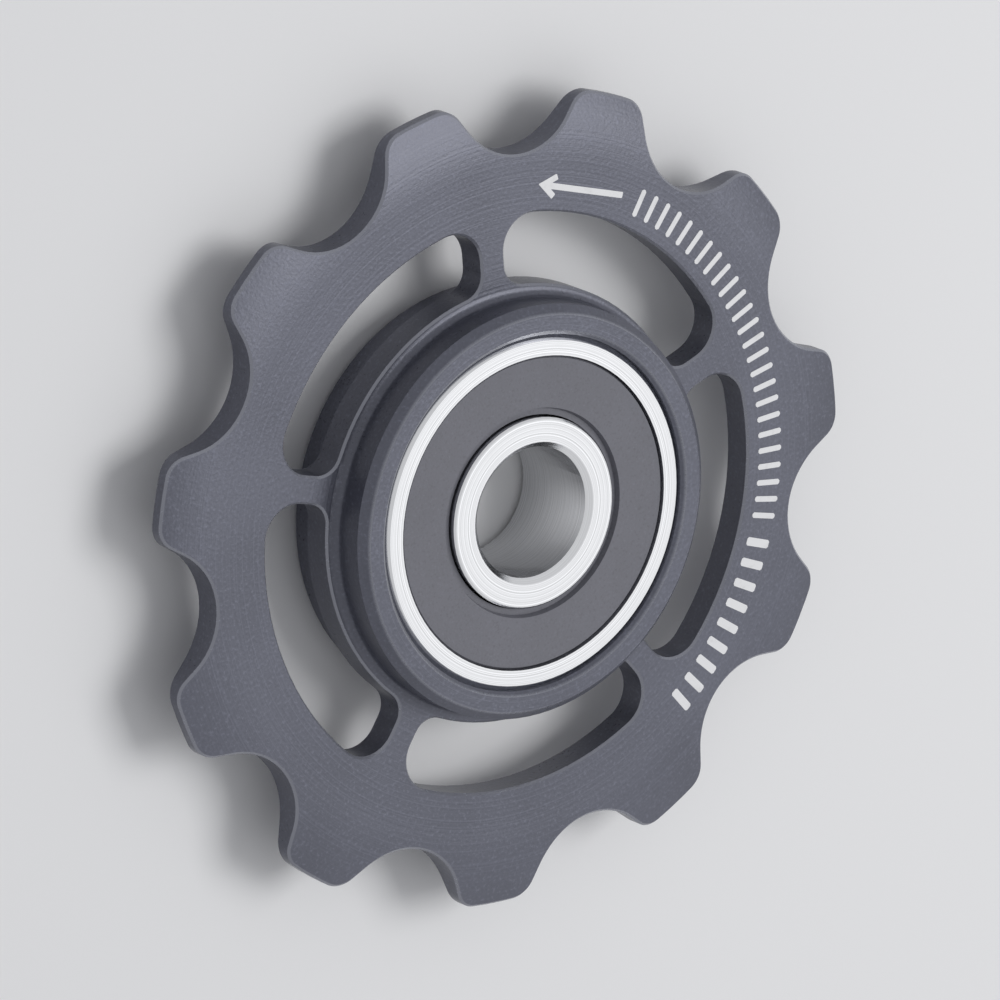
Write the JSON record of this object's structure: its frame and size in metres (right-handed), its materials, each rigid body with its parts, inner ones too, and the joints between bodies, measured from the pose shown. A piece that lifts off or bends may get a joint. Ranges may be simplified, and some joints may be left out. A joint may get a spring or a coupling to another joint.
{
  "type": "derailleur jockey wheel",
  "caption": "Toothed alloy derailleur jockey wheel with a spoked web, pressed round a sealed ball bearing with an open bore.",
  "frame": {"origin": "centre of the axle bore at mid-width", "axes": "+Z along the axle towards the marked front face, +X through the spoke that lines up with a tooth gap"},
  "size_m": [0.0431, 0.0436, 0.0064],
  "materials": {
    "anodised_alloy": "satin dark anodised",
    "bearing_steel": "ground and polished",
    "seal_rubber": "moulded, matt",
    "ball_ceramic": "lapped",
    "cage_polymer": "moulded",
    "white_print": "pad-printed ink"
  },
  "bodies": {
    "inner_ring": {"bearing_inner_ring": "bearing_steel"},
    "wheel": {"wheel": "anodised_alloy", "bearing_outer_ring": "bearing_steel", "front_seal": "seal_rubber", "rear_seal": "seal_rubber"},
    "cage": {"ball_cage": "cage_polymer"},
    "ball_1": {"ball_1": "ball_ceramic"},
    "ball_2": {"ball_2": "ball_ceramic"},
    "ball_3": {"ball_3": "ball_ceramic"},
    "ball_4": {"ball_4": "ball_ceramic"},
    "ball_5": {"ball_5": "ball_ceramic"},
    "ball_6": {"ball_6": "ball_ceramic"},
    "ball_7": {"ball_7": "ball_ceramic"}
  },
  "joints": [
    {"name": "wheel_spin", "type": "hinge", "parent": "inner_ring", "child": "wheel", "pos_m": [0, 0, 0], "axis": [0, 0, 1], "continuous": true},
    {"name": "cage_orbit", "type": "hinge", "parent": "inner_ring", "child": "cage", "pos_m": [0, 0, 0], "axis": [0, 0, 1], "continuous": true},
    {"name": "ball_1_roll", "type": "hinge", "parent": "cage", "child": "ball_1", "pos_m": [0.0065, 0, 0], "axis": [0, 0, 1], "continuous": true},
    {"name": "ball_2_roll", "type": "hinge", "parent": "cage", "child": "ball_2", "pos_m": [0.00405, 0.00508, 0], "axis": [0, 0, 1], "continuous": true},
    {"name": "ball_3_roll", "type": "hinge", "parent": "cage", "child": "ball_3", "pos_m": [-0.00145, 0.00634, 0], "axis": [0, 0, 1], "continuous": true},
    {"name": "ball_4_roll", "type": "hinge", "parent": "cage", "child": "ball_4", "pos_m": [-0.00586, 0.00282, 0], "axis": [0, 0, 1], "continuous": true},
    {"name": "ball_5_roll", "type": "hinge", "parent": "cage", "child": "ball_5", "pos_m": [-0.00586, -0.00282, 0], "axis": [0, 0, 1], "continuous": true},
    {"name": "ball_6_roll", "type": "hinge", "parent": "cage", "child": "ball_6", "pos_m": [-0.00145, -0.00634, 0], "axis": [0, 0, 1], "continuous": true},
    {"name": "ball_7_roll", "type": "hinge", "parent": "cage", "child": "ball_7", "pos_m": [0.00405, -0.00508, 0], "axis": [0, 0, 1], "continuous": true}
  ],
  "couplings": [
    {"joint": "cage_orbit", "follows": "wheel_spin", "ratio": 0.65265},
    {"joint": "ball_1_roll", "follows": "wheel_spin", "ratio": 1.485},
    {"joint": "ball_2_roll", "follows": "wheel_spin", "ratio": 1.485},
    {"joint": "ball_3_roll", "follows": "wheel_spin", "ratio": 1.485},
    {"joint": "ball_4_roll", "follows": "wheel_spin", "ratio": 1.485},
    {"joint": "ball_5_roll", "follows": "wheel_spin", "ratio": 1.485},
    {"joint": "ball_6_roll", "follows": "wheel_spin", "ratio": 1.485},
    {"joint": "ball_7_roll", "follows": "wheel_spin", "ratio": 1.485}
  ]
}
